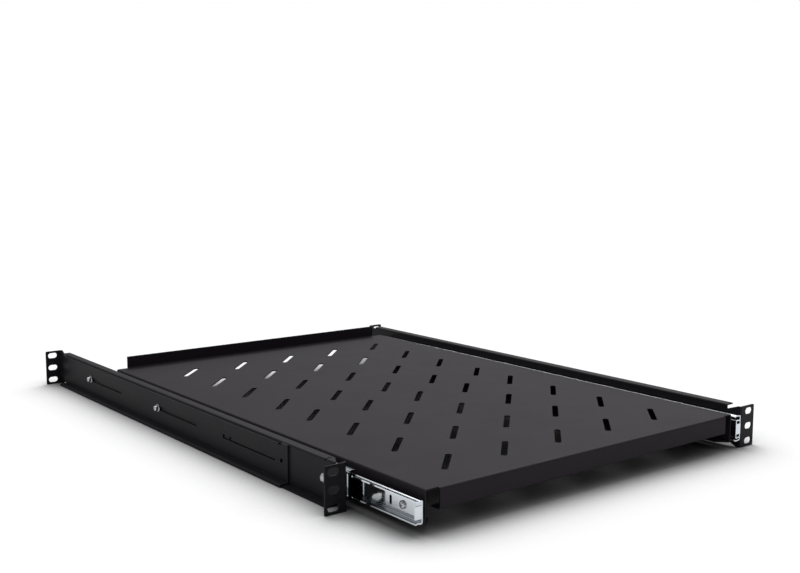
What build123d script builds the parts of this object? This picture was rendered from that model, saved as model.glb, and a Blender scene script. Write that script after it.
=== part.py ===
from build123d import *
import os

os.makedirs("parts", exist_ok=True)

# Sliding rack tray, in millimetres. X runs across the rack, +Y to the rear and +Z up.
# The origin is on the floor, in the middle of the tray's width and of the whole depth.

# Rack interface
rack_width = 482.6
ear_reach = 19.8
ear_slot_inset = 8.75
hole_pitch = 15.875
ear_height = 43.6
ear_slot_length = 12.0
ear_slot_width = 7.0
ear_corner = 1.5

# Rails: the front bracket carries the slide, and the rear bracket runs on its outside.
# Each has a lower flange turned outwards, and the front one an upper flange turned inwards.
rail_depth = 650.0
bracket_sheet = 1.5
bracket_bend = 2.0
web_height = 39.6
bracket_flange = 11.0
lower_flange = 7.1
nest_gap = 0.1
lip_gap = 0.3
lip_low = 0.4
rear_end_gap = 3.0
rear_bracket_lap = 90.0

# Neck between the ear and the flanges
neck_length = 20.0
neck_low = 16.6
neck_foot = 18.3
flange_start = 17.0
mitre_depth = 12.0
slit_place = 31.0
slit_width = 1.6
slit_rest = 2.5

# Depth adjustment
clamp_insets = (240.0, 50.0)
adjust_slot_length = 100.0
adjust_slot_width = 4.4
adjust_slot_behind = 8.0
hook_slit_rear = 212.0
hook_slit_drop = 1.7
hook_slit_width = 1.6
hook_rise = 3.6
hook_width = 4.0
hook_spacing = 13.5
dot_place = 101.0
dot_diameter = 4.4
guide_drop = 2.2
guide_tab_length = 11.0
guide_tab_rise = 1.4
guide_notch_width = 5.0
guide_notch_depth = 1.2

# Tray
tray_depth = 604.0
tray_sheet = 1.2
tray_bend = 2.0
tray_rise = 16.5
wall_height = 30.0
wall_return = 11.9
wall_setback = 3.0
front_lip_corner = 13.5
front_lip_height = 18.8
front_lip_return = 12.0
rear_lip_corner = 14.75
rear_lip_height = 13.8
slot_length = 48.0
slot_width = 6.0
slot_angle = 45.0
slot_columns = 5
slot_rows = 4
column_pitch = 69.25
row_pitch = 70.0
front_group = 157.6
rear_group = 426.3

# Slides
slide_length = 600.0
slide_sheet = 1.2
slide_bend = 1.6
outer_height = 27.6
outer_depth = 10.0
lip_drop = 1.1
ball_radius = 1.5
ball_play = 0.05
ball_line = 5.6
inner_face = 9.1
inner_reach = 6.0
race_swell = 0.45
race_inner = 1.0
race_outer = 1.9
cage_sheet = 0.8
cage_length = 150.0
cage_gap = 0.4
cage_edge = 2.6
balls_per_row = 4
stop_tab_height = 11.0
stop_tab_reach = 6.5

# Place of the tray between the rails, with the left slide part of the way open
opened = 88.0
tray_lead = 2.0

# Fasteners. Small holes, shanks and balls have eight flats, to keep the mesh light.
small_sides = 8
flange_sides = 16
screw_radius = 2.0
flange_radius = 4.5
flange_thickness = 1.0
head_width = 5.7
head_height = 3.0
low_head_height = 1.3
pan_radius = 3.6
pan_height = 2.2
spacer_width = 8.0
spacer_length = 4.6
screw_end = 1.0
nut_width = 7.0
nut_height = 3.0
fit_gap = 0.05
front_screw_place = 33.0
tray_screw_inset = 24.0
oval_place = 40.4
oval_length = 8.2
oval_width = 3.2

# Places worked out from the sizes
whole_depth = opened + tray_lead + rail_depth + bracket_sheet
tray_front = -whole_depth / 2
ear_face = tray_front + tray_lead + opened
middle = ear_height / 2
tray_top = middle + tray_rise
hole_span = rack_width - 2 * ear_slot_inset
web_face = rack_width / 2 - ear_reach
nested_face = web_face - bracket_sheet - nest_gap
slide_back = nested_face - bracket_sheet
flange_edge = web_face - bracket_flange
lower_edge = web_face + lower_flange
nest_step = bracket_sheet + nest_gap
lip_line = lower_edge + lip_gap + bracket_sheet / 2
guide_top = web_height - guide_drop
clamp_places = [slide_length - inset for inset in clamp_insets]
tray_screw_places = (tray_screw_inset, slide_length / 2, slide_length - tray_screw_inset)
inner_back = slide_back - inner_face - slide_sheet
tray_half = inner_back - spacer_length
tray_rear = tray_front + tray_depth
ball_pitch = cage_length / balls_per_row
ball_height = outer_height / 2 - slide_sheet - ball_radius - ball_play
turn_axis = Axis((0, 0, middle), (0, 1, 0))


def section_plane(y):
    return Plane.XZ.offset(-y)


def side_plane(x):
    return Plane.YZ.offset(x)


def small_round(radius, sides=small_sides):
    """A small round outline, drawn with a few flats that lie at the radius."""
    with BuildSketch() as outline:
        RegularPolygon(radius, sides, major_radius=False, rotation=180 / sides)
    return outline.sketch


def small_slot(length, width):
    """A slot with the same flats round its ends."""
    with BuildSketch() as outline:
        with GridLocations(length - width, 1, 2, 1):
            add(small_round(width / 2))
        Rectangle(length - width, width)
    return outline.sketch


def folded_profile(corners, start, end):
    """A profile folded from sheet through the corners of its middle line."""
    with BuildPart() as profile:
        with BuildSketch(section_plane(start)):
            with BuildLine():
                FilletPolyline(*corners, radius=bracket_bend - bracket_sheet / 2)
            trace(line_width=bracket_sheet)
        extrude(amount=start - end)
    return profile.part


def folded_ear(face, neck_top, ear_y, inwards):
    """An ear with three slots, bent outwards from a strip of web. inwards is +1 at the front."""
    half = bracket_sheet / 2
    with BuildPart() as ear:
        with BuildSketch(Plane.XY.offset(middle - ear_height / 2)):
            with BuildLine():
                FilletPolyline(
                    (-rack_width / 2, ear_y + half),
                    (half - face, ear_y + half),
                    (half - face, ear_y + inwards * neck_length),
                    radius=bracket_bend - half,
                )
            trace(line_width=bracket_sheet)
        extrude(amount=ear_height)
        corners = ear.edges().filter_by(Axis.Y).group_by(Axis.X)[0]
        fillet(corners, radius=ear_corner)
        with BuildSketch(section_plane(ear_y - bracket_sheet)):
            with Locations((-hole_span / 2, middle)):
                with GridLocations(1, hole_pitch, 1, 3):
                    SlotOverall(ear_slot_length, ear_slot_width)
        extrude(amount=-3 * bracket_sheet, mode=Mode.SUBTRACT)
        # The neck slopes from the ear's full height to the web
        lean = bracket_bend + bracket_sheet
        with BuildSketch(side_plane(-face - bracket_sheet)):
            with BuildLine():
                Polyline(
                    (ear_y + inwards * lean, middle + ear_height),
                    (ear_y + inwards * lean, middle + ear_height / 2),
                    (ear_y + inwards * flange_start, neck_top),
                    (ear_y + inwards * 2 * neck_length, neck_top),
                    (ear_y + inwards * 2 * neck_length, middle + ear_height),
                    close=True,
                )
            make_face()
            with BuildLine():
                Polyline(
                    (ear_y + inwards * lean, middle - ear_height),
                    (ear_y + inwards * lean, middle - ear_height / 2),
                    (ear_y + inwards * neck_foot, middle - neck_low),
                    (ear_y + inwards * 2 * neck_length, middle - neck_low),
                    (ear_y + inwards * 2 * neck_length, middle - ear_height),
                    close=True,
                )
            make_face()
        extrude(amount=3 * bracket_sheet, mode=Mode.SUBTRACT)
    return ear.part


def turned_over(part, closed):
    """The right side's piece: the left one turned over about the slide and moved to the front."""
    other = part.rotate(turn_axis, 180).moved(Location((0, -closed, 0)))
    with BuildPart() as right:
        add(other)
    right.part.label = part.label.replace("left", "right")
    return right


def write(piece):
    export_step(piece.part, f"parts/{piece.part.label}.step")


# Front bracket: ear, neck and the profile that carries the slide
half_sheet = bracket_sheet / 2
rear_ear_face = ear_face + rail_depth
front_section = [
    (-flange_edge, web_height - half_sheet),
    (half_sheet - nested_face, web_height - half_sheet),
    (half_sheet - nested_face, half_sheet),
    (-lower_edge, half_sheet),
]
front_profile = folded_profile(front_section, ear_face + flange_start, rear_ear_face - rear_end_gap)
front_ear = folded_ear(nested_face, web_height - bracket_bend, ear_face, 1)

with BuildPart() as left_front_bracket:
    add(front_profile)
    # Mitre of the upper flange beside the ear, and a slit behind it, closed at the free edge
    with BuildSketch(Plane.XY.offset(web_height - bracket_bend)):
        with BuildLine():
            Polyline(
                (bracket_bend - nested_face, ear_face),
                (bracket_bend - nested_face, ear_face + flange_start),
                (-flange_edge, ear_face + flange_start + mitre_depth),
                (bracket_sheet - flange_edge, ear_face + flange_start + mitre_depth),
                (bracket_sheet - flange_edge, ear_face),
                close=True,
            )
        make_face()
        with Locations(((-nested_face - flange_edge - slit_rest) / 2, ear_face + slit_place)):
            Rectangle(nested_face - flange_edge - slit_rest, slit_width)
    extrude(amount=bracket_bend, mode=Mode.SUBTRACT)
    # The lower flange stops short of the rear ear
    with BuildSketch(Plane.XY):
        with Locations((-lower_edge, rear_ear_face - flange_start)):
            Rectangle(lower_edge - slide_back + bracket_sheet, flange_start, align=(Align.MIN, Align.MIN))
    extrude(amount=bracket_bend, mode=Mode.SUBTRACT)
    add(front_ear)
    # Holes for the screw that holds the slide and for the clamp screws
    with BuildSketch(side_plane(-web_face)):
        for place in (front_screw_place, *clamp_places):
            with Locations((ear_face + place, middle)):
                add(small_round(screw_radius + fit_gap))
        with Locations((ear_face + dot_place, middle)):
            add(small_round(dot_diameter / 2))
    extrude(amount=web_face - slide_back + bracket_sheet, mode=Mode.SUBTRACT)
left_front_bracket.part.label = "left_front_bracket"

# Rear bracket: a plate on the outside, with slots along which the depth is set. Its lower
# flange lies on the front bracket's one and laps over the edge of it.
rear_section = [
    (half_sheet - web_face, guide_top + guide_tab_rise),
    (half_sheet - web_face, nest_step + half_sheet),
    (-lip_line, nest_step + half_sheet),
    (-lip_line, lip_low),
]
rear_start = ear_face + rear_bracket_lap
rear_profile = folded_profile(rear_section, rear_start, rear_ear_face - flange_start)
rear_ear = folded_ear(web_face, guide_top, rear_ear_face, -1)

with BuildPart() as left_rear_bracket:
    add(rear_profile)
    # The upper edge is lower behind the guide tab, with a relief notch beside it
    with BuildSketch(side_plane(-web_face - bracket_sheet)):
        with Locations((rear_start + guide_tab_length, guide_top)):
            Rectangle(rail_depth, guide_drop, align=(Align.MIN, Align.MIN))
            Rectangle(guide_notch_width, guide_notch_depth, align=(Align.MIN, Align.MAX))
    extrude(amount=3 * bracket_sheet, mode=Mode.SUBTRACT)
    add(rear_ear)
    with BuildSketch(side_plane(-web_face - bracket_sheet)):
        for place in clamp_places:
            slot_middle = place + adjust_slot_behind - adjust_slot_length / 2
            with Locations((ear_face + slot_middle, middle)):
                add(small_slot(adjust_slot_length, adjust_slot_width))
        # Long slit with two upward hooks at its rear end
        slit_rear = ear_face + hook_slit_rear
        slit_line = middle - hook_slit_drop
        with Locations((slit_rear - adjust_slot_length / 2, slit_line)):
            Rectangle(adjust_slot_length, hook_slit_width)
        for back in (hook_width / 2, hook_width / 2 + hook_spacing):
            with Locations((slit_rear - back, slit_line + hook_rise / 2)):
                Rectangle(hook_width, hook_rise)
        with Locations((ear_face + dot_place, middle)):
            add(small_round(dot_diameter / 2))
    extrude(amount=3 * bracket_sheet, mode=Mode.SUBTRACT)
left_rear_bracket.part.label = "left_rear_bracket"


def rolled(points, start, length):
    """A rolled slide section: a stroke along the points, run to the rear."""
    with BuildPart() as member:
        with BuildSketch(section_plane(start)):
            with BuildLine():
                FilletPolyline(*points, radius=slide_bend - slide_sheet / 2)
            trace(line_width=slide_sheet)
        extrude(amount=-length)
    return member.part


# Slide member on the rail: a rolled channel with a race for the balls in each flange
race_line = ball_height + ball_radius + ball_play + slide_sheet / 2
flange_line = race_line - race_swell
lip_line = outer_depth - slide_sheet / 2
outer_half_section = [
    (lip_line, flange_line - lip_drop),
    (lip_line, flange_line),
    (ball_line + race_outer, flange_line),
    (ball_line + race_inner, race_line),
    (ball_line - race_inner, race_line),
    (ball_line - race_outer, flange_line),
    (slide_sheet / 2, flange_line),
]
outer_section = [(u - slide_back, middle + v) for u, v in outer_half_section]
outer_section += [(u - slide_back, middle - v) for u, v in reversed(outer_half_section)]

with BuildPart() as left_outer_slide:
    add(rolled(outer_section, ear_face, slide_length))
    with BuildSketch(side_plane(-slide_back - slide_sheet)):
        for place in (front_screw_place, *clamp_places):
            with Locations((ear_face + place, middle)):
                add(small_round(screw_radius + fit_gap))
    extrude(amount=3 * slide_sheet, mode=Mode.SUBTRACT)
left_outer_slide.part.label = "left_outer_slide"

# Slide member on the tray: it runs between the balls
inner_race = ball_height - ball_radius - ball_play - slide_sheet / 2
inner_line = inner_face + slide_sheet / 2
inner_half_section = [
    (inner_face - inner_reach, inner_race + race_swell),
    (ball_line - race_outer, inner_race + race_swell),
    (ball_line - race_inner, inner_race),
    (ball_line + race_inner, inner_race),
    (ball_line + race_outer, inner_race + race_swell),
    (inner_line, inner_race + race_swell),
]
inner_section = [(u - slide_back, middle + v) for u, v in inner_half_section]
inner_section += [(u - slide_back, middle - v) for u, v in reversed(inner_half_section)]

with BuildPart() as left_inner_slide:
    add(rolled(inner_section, tray_front, slide_length))
    # Stop tab, bent outwards at the front end
    with BuildSketch(Plane.XY.offset(middle - stop_tab_height / 2)):
        with BuildLine():
            FilletPolyline(
                (inner_face - stop_tab_reach - slide_back, tray_front + slide_sheet / 2),
                (inner_line - slide_back, tray_front + slide_sheet / 2),
                (inner_line - slide_back, tray_front + 2 * slide_bend),
                radius=slide_bend - slide_sheet / 2,
            )
        trace(line_width=slide_sheet)
    extrude(amount=stop_tab_height)
    with BuildSketch(side_plane(inner_face - slide_sheet - slide_back)):
        for place in tray_screw_places:
            with Locations((tray_front + place, middle)):
                add(small_round(screw_radius + fit_gap))
        with Locations((tray_front + oval_place, middle)):
            add(small_slot(oval_length, oval_width), rotation=90)
    extrude(amount=3 * slide_sheet, mode=Mode.SUBTRACT)
left_inner_slide.part.label = "left_inner_slide"

# Ball cage, half way between the two members
cage_front = (ear_face + tray_front + slide_length - cage_length) / 2
with BuildPart() as left_ball_cage:
    with BuildSketch(section_plane(cage_front)):
        with BuildLine():
            FilletPolyline(
                (ball_line + cage_edge - slide_back, middle + ball_height),
                (slide_sheet + cage_gap + cage_sheet / 2 - slide_back, middle + ball_height),
                (slide_sheet + cage_gap + cage_sheet / 2 - slide_back, middle - ball_height),
                (ball_line + cage_edge - slide_back, middle - ball_height),
                radius=slide_bend - slide_sheet / 2,
            )
        trace(line_width=cage_sheet)
    extrude(amount=-cage_length)
    with BuildSketch(Plane.XY.offset(middle - outer_height)):
        with Locations((ball_line - slide_back, cage_front + cage_length / 2)):
            with GridLocations(1, ball_pitch, 1, balls_per_row):
                add(small_round(ball_radius + fit_gap))
    extrude(amount=2 * outer_height, mode=Mode.SUBTRACT)
left_ball_cage.part.label = "left_ball_cage"

with BuildPart() as ball:
    with BuildSketch(Plane.XY.offset(-ball_radius)):
        add(small_round(ball_radius))
    extrude(amount=2 * ball_radius)
    ball_flat = ball_radius * 2 * (2**0.5 - 1)
    rims = ball.faces().filter_by(Axis.Z).edges()
    chamfer(rims, length=ball_radius - ball_flat / 2)

with BuildPart() as left_balls:
    for height in (middle - ball_height, middle + ball_height):
        with Locations((ball_line - slide_back, cage_front + cage_length / 2, height)):
            with GridLocations(1, ball_pitch, 1, balls_per_row):
                add(ball.part)
left_balls.part.label = "left_balls"


def rail_screw(place, seat, height):
    """A hexagon screw with a flange, from the bracket's outer face into the slide member behind it."""
    with BuildPart() as screw:
        with BuildSketch(side_plane(-seat)):
            with Locations((ear_face + place, middle)):
                add(small_round(flange_radius, flange_sides))
        extrude(amount=-flange_thickness)
        with BuildSketch(side_plane(-seat)):
            with Locations((ear_face + place, middle)):
                RegularPolygon(head_width / 2, 6, major_radius=False)
        extrude(amount=-flange_thickness - height)
        with BuildSketch(side_plane(-seat)):
            with Locations((ear_face + place, middle)):
                add(small_round(screw_radius))
        extrude(amount=seat - slide_back + slide_sheet)
    return screw.part


with BuildPart() as left_front_screw:
    add(rail_screw(front_screw_place, nested_face, low_head_height))
left_front_screw.part.label = "left_front_screw"

with BuildPart() as left_clamp_screws:
    for place in clamp_places:
        add(rail_screw(place, web_face, head_height))
left_clamp_screws.part.label = "left_clamp_screws"

# Tray: a plate folded down at the sides, with a front lip and an upstand at the rear
plate_line = tray_top - tray_sheet / 2
with BuildPart() as tray:
    with BuildSketch(section_plane(tray_front + wall_setback)):
        with BuildLine():
            wall_line = tray_half - tray_sheet / 2
            return_line = tray_top - wall_height + tray_sheet / 2
            FilletPolyline(
                (wall_return - tray_half, return_line),
                (-wall_line, return_line),
                (-wall_line, plate_line),
                (wall_line, plate_line),
                (wall_line, return_line),
                (tray_half - wall_return, return_line),
                radius=tray_bend - tray_sheet / 2,
            )
        trace(line_width=tray_sheet)
    extrude(amount=2 * wall_setback - tray_depth)
    # The wall returns are cut back at both ends
    with BuildSketch(Plane.XY.offset(tray_top - wall_height)):
        for side in (-1, 1):
            for end, inwards in ((tray_front, 1), (tray_rear, -1)):
                root = end + inwards * wall_setback
                with BuildLine():
                    Polyline(
                        (side * (tray_half - tray_bend), root - inwards * wall_setback),
                        (side * (tray_half - tray_bend), root),
                        (side * (tray_half - wall_return - tray_sheet), root + inwards * wall_return),
                        (side * (tray_half - wall_return - tray_sheet), root - inwards * wall_setback),
                        close=True,
                    )
                make_face()
    extrude(amount=tray_bend, mode=Mode.SUBTRACT)
    # Front lip, with its lower edge turned back under
    with BuildSketch(side_plane(front_lip_corner - tray_half)):
        with BuildLine():
            FilletPolyline(
                (tray_front + 2 * front_lip_return, plate_line),
                (tray_front + tray_sheet / 2, plate_line),
                (tray_front + tray_sheet / 2, tray_top - front_lip_height + tray_sheet / 2),
                (tray_front + front_lip_return, tray_top - front_lip_height + tray_sheet / 2),
                radius=tray_bend - tray_sheet / 2,
            )
        trace(line_width=tray_sheet)
    extrude(amount=2 * (tray_half - front_lip_corner))
    # Rear upstand
    with BuildSketch(side_plane(rear_lip_corner - tray_half)):
        with BuildLine():
            FilletPolyline(
                (tray_rear - 2 * front_lip_return, plate_line),
                (tray_rear - tray_sheet / 2, plate_line),
                (tray_rear - tray_sheet / 2, tray_top + rear_lip_height),
                radius=tray_bend - tray_sheet / 2,
            )
        trace(line_width=tray_sheet)
    extrude(amount=2 * (tray_half - rear_lip_corner))
    # Slanted slots in two groups
    with BuildSketch(Plane.XY.offset(tray_top - tray_sheet)):
        for group in (front_group, rear_group):
            with Locations((0, tray_front + group)):
                with GridLocations(column_pitch, row_pitch, slot_columns, slot_rows):
                    add(small_slot(slot_length, slot_width), rotation=slot_angle)
    extrude(amount=tray_sheet, mode=Mode.SUBTRACT)
    # Holes for the slide screws
    with BuildSketch(side_plane(-tray_half)):
        for place in tray_screw_places:
            with Locations((tray_front + place, middle)):
                add(small_round(screw_radius + fit_gap))
    extrude(amount=2 * tray_half, mode=Mode.SUBTRACT)
tray.part.label = "tray"

# Fixings between the inner slide and the tray's wall
with BuildPart() as left_spacers:
    with BuildSketch(side_plane(-inner_back)):
        for place in tray_screw_places:
            with Locations((tray_front + place, middle)):
                RegularPolygon(spacer_width / 2, 6, major_radius=False)
                add(small_round(screw_radius + fit_gap), mode=Mode.SUBTRACT)
    extrude(amount=spacer_length)
left_spacers.part.label = "left_spacers"

with BuildPart() as left_tray_screws:
    with BuildSketch(side_plane(inner_face - slide_back)):
        for place in tray_screw_places:
            with Locations((tray_front + place, middle)):
                add(small_round(pan_radius))
    extrude(amount=-pan_height)
    with BuildSketch(side_plane(inner_face - slide_back)):
        for place in tray_screw_places:
            with Locations((tray_front + place, middle)):
                add(small_round(screw_radius))
    extrude(amount=inner_back - tray_half + 2 * slide_sheet + nut_height + screw_end)
left_tray_screws.part.label = "left_tray_screws"

with BuildPart() as left_nuts:
    with BuildSketch(side_plane(tray_sheet - tray_half)):
        for place in tray_screw_places:
            with Locations((tray_front + place, middle)):
                RegularPolygon(nut_width / 2, 6, major_radius=False)
                add(small_round(screw_radius + fit_gap), mode=Mode.SUBTRACT)
    extrude(amount=nut_height)
left_nuts.part.label = "left_nuts"

# The right side: the same pieces turned over
on_the_rail = (
    left_front_bracket,
    left_rear_bracket,
    left_outer_slide,
    left_front_screw,
    left_clamp_screws,
)
in_the_cage = (left_ball_cage, left_balls)
on_the_tray = (left_inner_slide, left_spacers, left_tray_screws, left_nuts)

write(tray)
for pieces, closed in ((on_the_rail, opened), (in_the_cage, opened / 2), (on_the_tray, 0)):
    for piece in pieces:
        write(piece)
        write(turned_over(piece.part, closed))
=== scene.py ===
import math

import bmesh
import bpy
from mathutils import Matrix, Vector


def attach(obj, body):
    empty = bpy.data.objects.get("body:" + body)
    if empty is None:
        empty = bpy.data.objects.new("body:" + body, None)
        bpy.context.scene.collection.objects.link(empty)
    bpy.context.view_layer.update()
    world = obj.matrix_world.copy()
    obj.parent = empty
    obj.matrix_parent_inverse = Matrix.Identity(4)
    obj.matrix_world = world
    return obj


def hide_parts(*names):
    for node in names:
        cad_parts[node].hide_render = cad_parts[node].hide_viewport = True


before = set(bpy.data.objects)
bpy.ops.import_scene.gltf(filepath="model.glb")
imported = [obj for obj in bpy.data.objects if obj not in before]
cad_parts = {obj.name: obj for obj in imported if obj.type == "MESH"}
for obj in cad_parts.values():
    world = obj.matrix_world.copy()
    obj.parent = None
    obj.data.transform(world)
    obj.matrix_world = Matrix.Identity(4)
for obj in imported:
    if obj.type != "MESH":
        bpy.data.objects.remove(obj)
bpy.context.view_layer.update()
scene = bpy.context.scene
scene.view_settings.view_transform = "Standard"

# Fastener sizes, in metres
RAIL_FACE = 0.2215
NESTED_FACE = 0.2199
FLANGE_RADIUS = 0.0045
FLANGE_THICKNESS = 0.001
HEAD_WIDTH = 0.0057
RAIL_SHANK = 0.002
PAN_RADIUS = 0.0036
PAN_HEIGHT = 0.0022
PAN_SHANK = 0.0019
PAN_SIDE = 0.0009
BALL_RADIUS = 0.0015
TIP_CHAMFER = 0.0004
TIP_RADIUS_SHARE = 0.8
RIM_ROUND = 0.0001
HEAD_CHAMFER = 0.0003
HEAD_TOP_RADIUS = 0.0027
DISH_RADIUS = 0.0019
DISH_FLOOR_RADIUS = 0.0016
DISH_DEPTH = 0.0004
RECESS_RADIUS = 0.0019
RECESS_DEPTH = 0.0010
RECESS_ARM = 0.00042
RECESS_WALL = 0.0001
RECESS_RUN_OUT = 0.0005
ROUND_SIDES = 72
SHARP_EDGE = math.radians(35.0)
DOME_SHARES = (1.0, 0.97, 0.92, 0.85, 0.76, 0.66, 0.58, 0.52, 0.47, 0.43, 0.39, 0.34, 0.28, 0.2, 0.12, 0.05)


# Camera: the photograph's place and angle, without shift or depth of field
def set_camera():
    data = bpy.data.cameras.new("view")
    data.sensor_fit = "HORIZONTAL"
    data.sensor_width = 36.0
    data.lens = 48.80
    data.clip_start = 0.05
    data.clip_end = 90.0
    camera = bpy.data.objects.new("view", data)
    scene.collection.objects.link(camera)
    turn = Matrix.Rotation(math.radians(-37.993), 4, "Z")
    tip = Matrix.Rotation(math.radians(90.0 - 7.320), 4, "X")
    roll = Matrix.Rotation(math.radians(0.0755), 4, "Z")
    camera.matrix_world = Matrix.Translation((-0.73575, -1.01647, 0.30996)) @ turn @ tip @ roll
    scene.camera = camera


# Node helpers
class Nodes:
    """Builds a material's tree in a few plain calls."""

    def __init__(self, tree):
        self.tree = tree
        tree.nodes.clear()

    def add(self, kind, inputs=None, **settings):
        node = self.tree.nodes.new(kind)
        for name, value in settings.items():
            setattr(node, name, value)
        for name, value in (inputs or {}).items():
            socket = node.inputs[name]
            if isinstance(value, bpy.types.NodeSocket):
                self.tree.links.new(value, socket)
            else:
                socket.default_value = value
        return node

    def ramp(self, factor, stops):
        node = self.add("ShaderNodeValToRGB", {"Fac": factor})
        elements = node.color_ramp.elements
        while len(elements) < len(stops):
            elements.new(0.5)
        for element, (place, value) in zip(elements, stops):
            element.position = place
            element.color = (*value, 1.0)
        return node.outputs["Color"]


def new_material(name):
    material = bpy.data.materials.new(name)
    material.use_nodes = True
    return material, Nodes(material.node_tree)


def powder_coat(name, shade, roughness, sheen_level):
    """Black satin powder coat: a fine orange peel, with slow changes of sheen."""
    material, n = new_material(name)
    place = n.add("ShaderNodeTexCoord").outputs["Object"]
    peel = n.add("ShaderNodeTexNoise", {"Vector": place, "Scale": 900.0, "Detail": 3.0, "Roughness": 0.6})
    cloud = n.add("ShaderNodeTexNoise", {"Vector": place, "Scale": 14.0, "Detail": 4.0, "Roughness": 0.55})
    low = tuple(0.9 * c for c in shade)
    high = tuple(1.1 * c for c in shade)
    colour = n.ramp(cloud.outputs["Fac"], [(0.3, low), (0.7, high)])
    sheen = n.add(
        "ShaderNodeMapRange",
        {"Value": cloud.outputs["Fac"], "From Min": 0.3, "From Max": 0.7,
         "To Min": roughness - 0.03, "To Max": roughness + 0.03},
    )
    bump = n.add("ShaderNodeBump", {"Height": peel.outputs["Fac"], "Strength": 0.08, "Distance": 0.0002})
    shader = n.add(
        "ShaderNodeBsdfPrincipled",
        {"Base Color": colour, "Roughness": sheen.outputs["Result"], "Normal": bump.outputs["Normal"]},
    )
    shader.inputs["Specular IOR Level"].default_value = sheen_level
    n.add("ShaderNodeOutputMaterial", {"Surface": shader.outputs["BSDF"]})
    return material


def bright_zinc(name, shade, roughness):
    """Bright zinc plating on steel, with faint marks along the rolling direction."""
    material, n = new_material(name)
    place = n.add("ShaderNodeTexCoord").outputs["Object"]
    along = n.add("ShaderNodeMapping", {"Vector": place, "Scale": (900.0, 12.0, 900.0)})
    lines = n.add("ShaderNodeTexNoise", {"Vector": along.outputs["Vector"], "Scale": 1.0, "Detail": 3.0})
    cloud = n.add("ShaderNodeTexNoise", {"Vector": place, "Scale": 60.0, "Detail": 4.0})
    colour = n.ramp(cloud.outputs["Fac"], [(0.3, tuple(0.94 * c for c in shade)), (0.7, shade)])
    sheen = n.add(
        "ShaderNodeMapRange",
        {"Value": lines.outputs["Fac"], "From Min": 0.35, "From Max": 0.65,
         "To Min": roughness, "To Max": roughness + 0.05},
    )
    bump = n.add("ShaderNodeBump", {"Height": lines.outputs["Fac"], "Strength": 0.008, "Distance": 0.0001})
    shader = n.add(
        "ShaderNodeBsdfPrincipled",
        {"Base Color": colour, "Roughness": sheen.outputs["Result"], "Normal": bump.outputs["Normal"]},
    )
    shader.inputs["Metallic"].default_value = 1.0
    n.add("ShaderNodeOutputMaterial", {"Surface": shader.outputs["BSDF"]})
    return material


def paint(names, material):
    for name in names:
        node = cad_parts[name]
        node.data.materials.clear()
        node.data.materials.append(material)


# Floor and light
def set_stage():
    """A pale floor with painted shade: its colour is darkened from ambient occlusion where the part stands
    close over it, a deep painted contact shadow.
    """
    mesh = bpy.data.meshes.new("floor")
    size = 60.0
    corners = [(-size, -size, 0.0), (size, -size, 0.0), (size, size, 0.0), (-size, size, 0.0)]
    mesh.from_pydata(corners, [], [(0, 1, 2, 3)])
    floor = bpy.data.objects.new("floor", mesh)
    scene.collection.objects.link(floor)
    material, n = new_material("floor_with_painted_shade")
    # Painted shade: the floor colour runs from pale to near black as ambient occlusion finds the part close
    # above it.
    openness = n.add("ShaderNodeAmbientOcclusion", {"Distance": 0.09}, samples=12)
    shade = n.ramp(openness.outputs["AO"], [(0.0, (0.06, 0.06, 0.06)), (0.5, (0.34, 0.34, 0.34)),
                                            (0.97, (0.96, 0.96, 0.96))])
    diffuse = n.add("ShaderNodeBsdfDiffuse", {"Color": shade})
    n.add("ShaderNodeOutputMaterial", {"Surface": diffuse.outputs["BSDF"]})
    mesh.materials.append(material)


def set_world():
    """A soft studio sky, bright overhead and dim near the floor, with a white backdrop."""
    world = bpy.data.worlds.new("studio")
    scene.world = world
    world.use_nodes = True
    n = Nodes(world.node_tree)
    path = n.add("ShaderNodeLightPath")
    height = n.add("ShaderNodeSeparateXYZ", {"Vector": n.add("ShaderNodeTexCoord").outputs["Generated"]})
    shade = n.ramp(height.outputs["Z"], [(0.0, (0.10, 0.10, 0.10)), (0.35, (0.32, 0.32, 0.32)),
                                         (1.0, (0.88, 0.88, 0.89))])
    soft = n.add("ShaderNodeBackground", {"Color": shade, "Strength": 1.0})
    white = n.add("ShaderNodeBackground", {"Color": (1.0, 1.0, 1.0, 1.0), "Strength": 1.0})
    mix = n.add("ShaderNodeMixShader", {"Fac": path.outputs["Is Camera Ray"]})
    n.tree.links.new(soft.outputs["Background"], mix.inputs[1])
    n.tree.links.new(white.outputs["Background"], mix.inputs[2])
    n.add("ShaderNodeOutputWorld", {"Surface": mix.outputs["Shader"]})


def add_sun(name, place, strength, spread):
    """A distant lamp that shines from place to the middle of the part."""
    data = bpy.data.lights.new(name, "SUN")
    data.energy = strength
    data.angle = math.radians(spread)
    lamp = bpy.data.objects.new(name, data)
    scene.collection.objects.link(lamp)
    lamp.location = place
    lamp.rotation_euler = (-Vector(place)).to_track_quat("-Z", "Y").to_euler()


# Fasteners
def solids_of(name):
    """The lowest and highest corner of each separate solid in a CAD node."""
    mesh = bmesh.new()
    mesh.from_mesh(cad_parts[name].data)
    bmesh.ops.remove_doubles(mesh, verts=mesh.verts, dist=1e-6)
    left = set(mesh.verts)
    boxes = []
    while left:
        reached = [left.pop()]
        group = []
        while reached:
            vert = reached.pop()
            group.append(vert.co.copy())
            for edge in vert.link_edges:
                other = edge.other_vert(vert)
                if other in left:
                    left.remove(other)
                    reached.append(other)
        boxes.append((Vector(min(p[i] for p in group) for i in range(3)),
                      Vector(max(p[i] for p in group) for i in range(3))))
    mesh.free()
    return sorted(boxes, key=lambda box: (box[0].y, box[0].z, box[0].x))


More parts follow.
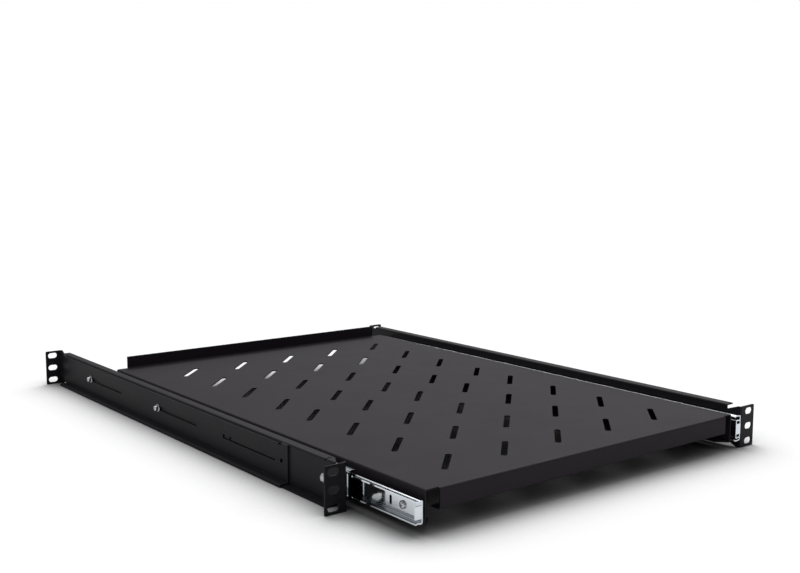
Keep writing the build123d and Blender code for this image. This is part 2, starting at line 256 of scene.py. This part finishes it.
def add_rings(mesh, middle, side, rings):
    """Joins rings of points round a line along X. A ring is (place along X, radius at an angle)."""
    loops = []
    for along, radius in rings:
        loop = []
        for step in range(ROUND_SIDES):
            angle = math.tau * step / ROUND_SIDES
            depth, reach = along(angle), radius(angle)
            loop.append(mesh.verts.new((
                side * depth, middle.y + reach * math.cos(angle), middle.z + reach * math.sin(angle))))
        loops.append(loop)
    for first, second in zip(loops, loops[1:]):
        for step in range(ROUND_SIDES):
            after = (step + 1) % ROUND_SIDES
            mesh.faces.new((first[step], first[after], second[after], second[step]))
    mesh.faces.new(loops[0])
    mesh.faces.new(loops[-1])


def fixed(value):
    """A place or radius that is the same at every angle."""
    return lambda angle: value


def hexagon(width, limit):
    """A hexagon's radius at an angle, with its corners cut by the chamfer's circle."""
    def radius(angle):
        off = (angle + math.pi / 6) % (math.pi / 3) - math.pi / 6
        return min(width / 2 / math.cos(off), limit)
    return radius


def flange_screw_rings(seat, outer, inner):
    """A hexagon head with a chamfered top and a dished middle, on a flange with a rounded rim."""
    flange = seat + FLANGE_THICKNESS
    corner = HEAD_WIDTH / 2 / math.cos(math.pi / 6)
    rings = [
        (inner, fixed(TIP_RADIUS_SHARE * RAIL_SHANK)),
        (inner + TIP_CHAMFER, fixed(RAIL_SHANK)),
        (seat, fixed(RAIL_SHANK)),
        (seat, fixed(FLANGE_RADIUS - RIM_ROUND)),
        (seat + 2 * RIM_ROUND, fixed(FLANGE_RADIUS)),
        (seat + 5 * RIM_ROUND, fixed(FLANGE_RADIUS)),
        (seat + 7 * RIM_ROUND, fixed(FLANGE_RADIUS - 2 * RIM_ROUND)),
        (flange, fixed(corner + 2 * RIM_ROUND)),
        (flange, hexagon(HEAD_WIDTH, corner)),
        (outer - HEAD_CHAMFER, hexagon(HEAD_WIDTH, corner)),
        (outer, hexagon(HEAD_WIDTH, HEAD_TOP_RADIUS)),
        (outer, fixed(DISH_RADIUS)),
        (outer - DISH_DEPTH, fixed(DISH_FLOOR_RADIUS)),
    ]
    return [(fixed(along), radius) for along, radius in rings]


def pan_surface(seat, reach):
    """The place along X of a pan head's top at this distance from its middle."""
    dome = (PAN_HEIGHT - PAN_SIDE) * math.sqrt(max(0.0, 1.0 - (reach / PAN_RADIUS) ** 2))

    def along(angle):
        off = min(abs(reach * math.cos(angle)), abs(reach * math.sin(angle)))
        wall = min(1.0, max(0.0, (RECESS_ARM - off) / RECESS_WALL))
        fall = min(1.0, max(0.0, (RECESS_RADIUS - reach) / RECESS_RUN_OUT))
        return seat + PAN_SIDE + dome - RECESS_DEPTH * wall * fall
    return along


def pan_screw_rings(seat, inner):
    """A domed pan head with a cross recess."""
    rings = [
        (fixed(inner), fixed(TIP_RADIUS_SHARE * PAN_SHANK)),
        (fixed(inner + TIP_CHAMFER), fixed(PAN_SHANK)),
        (fixed(seat), fixed(PAN_SHANK)),
        (fixed(seat), fixed(PAN_RADIUS - RIM_ROUND)),
        (fixed(seat + RIM_ROUND), fixed(PAN_RADIUS)),
    ]
    for share in DOME_SHARES:
        reach = share * PAN_RADIUS
        rings.append((pan_surface(seat, reach), fixed(reach)))
    return rings


def add_detail(data, name, body):
    """Shows a finished mesh in place of a CAD node, on that node's body."""
    data.name = name + "_detail"
    piece = bpy.data.objects.new(name + "_detail", data)
    scene.collection.objects.link(piece)
    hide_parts(name)
    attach(piece, body)


def build_screws(name, body, material, rings_for):
    """One mesh for all the screws of a CAD node, on that node's body."""
    mesh = bmesh.new()
    for low, high in solids_of(name):
        middle = (low + high) / 2
        side = -1.0 if middle.x < 0.0 else 1.0
        outer = max(abs(low.x), abs(high.x))
        inner = min(abs(low.x), abs(high.x))
        add_rings(mesh, middle, side, rings_for(outer, inner))
    bmesh.ops.recalc_face_normals(mesh, faces=mesh.faces)
    data = bpy.data.meshes.new(name + "_detail")
    mesh.to_mesh(data)
    mesh.free()
    data.materials.append(material)
    data.polygons.foreach_set("use_smooth", [True] * len(data.polygons))
    data.set_sharp_from_angle(angle=SHARP_EDGE)
    add_detail(data, name, body)


def ball_tree(material):
    """Geometry Nodes: a smooth ball of the given radius on every point."""
    tree = bpy.data.node_groups.new("slide_balls", "GeometryNodeTree")
    tree.interface.new_socket("Points", in_out="INPUT", socket_type="NodeSocketGeometry")
    radius = tree.interface.new_socket("Radius", in_out="INPUT", socket_type="NodeSocketFloat")
    tree.interface.new_socket("Balls", in_out="OUTPUT", socket_type="NodeSocketGeometry")
    n = Nodes(tree)
    given = n.add("NodeGroupInput")
    ball = n.add("GeometryNodeMeshUVSphere", {"Segments": 28, "Rings": 16, "Radius": given.outputs["Radius"]})
    placed = n.add("GeometryNodeInstanceOnPoints",
                   {"Points": given.outputs["Points"], "Instance": ball.outputs["Mesh"]})
    solid = n.add("GeometryNodeRealizeInstances", {"Geometry": placed.outputs["Instances"]})
    smooth = n.add("GeometryNodeSetShadeSmooth", {"Geometry": solid.outputs["Geometry"]})
    finished = n.add("GeometryNodeSetMaterial", {"Geometry": smooth.outputs["Geometry"]})
    finished.inputs["Material"].default_value = material
    n.add("NodeGroupOutput", {"Balls": finished.outputs["Geometry"]})
    return tree, radius.identifier


def build_balls(name, body, tree, radius_socket):
    """Round balls for one side's slide, as one mesh on its cage."""
    centres = [(low + high) / 2 for low, high in solids_of(name)]
    points = bpy.data.meshes.new(name + "_points")
    points.from_pydata([tuple(centre) for centre in centres], [], [])
    carrier = bpy.data.objects.new(name + "_points", points)
    scene.collection.objects.link(carrier)
    nodes = carrier.modifiers.new("balls", "NODES")
    nodes.node_group = tree
    nodes[radius_socket] = BALL_RADIUS
    seen = carrier.evaluated_get(bpy.context.evaluated_depsgraph_get())
    data = bpy.data.meshes.new_from_object(seen)
    bpy.data.objects.remove(carrier)
    add_detail(data, name, body)


set_camera()
set_stage()
set_world()
add_sun("key", (1.2, 0.9, 2.1), 1.86, 60.0)

tray_coat = powder_coat("tray_powder_coat", (0.0145, 0.0115, 0.0155), 0.55, 0.108)
rail_coat = powder_coat("rail_powder_coat", (0.0100, 0.0095, 0.0118), 0.55, 0.135)
zinc = bright_zinc("slide_zinc", (0.66, 0.70, 0.74), 0.05)
screw_zinc = bright_zinc("screw_zinc", (0.47, 0.48, 0.50), 0.18)
steel_ball = bright_zinc("ball_steel", (0.75, 0.75, 0.77), 0.08)

rails = [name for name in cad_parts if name.endswith("bracket")]
slides = [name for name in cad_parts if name.endswith(("slide", "cage"))]
screws = [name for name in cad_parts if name.endswith(("screw", "screws", "nuts", "spacers"))]
balls = [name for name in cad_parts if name.endswith("balls")]
paint(["tray"], tray_coat)
paint(rails, rail_coat)
paint(slides, zinc)
paint(screws, screw_zinc)
paint(balls, steel_ball)

balls_of, radius_socket = ball_tree(steel_ball)
for hand in ("left", "right"):
    build_balls(hand + "_balls", hand + "_cage", balls_of, radius_socket)
    build_screws(
        hand + "_front_screw", hand + "_rail", screw_zinc,
        lambda outer, inner: flange_screw_rings(NESTED_FACE, outer, inner))
    build_screws(
        hand + "_clamp_screws", hand + "_rail", screw_zinc,
        lambda outer, inner: flange_screw_rings(RAIL_FACE, outer, inner))
    build_screws(
        hand + "_tray_screws", "tray", screw_zinc,
        lambda outer, inner: pan_screw_rings(outer - PAN_HEIGHT, inner))
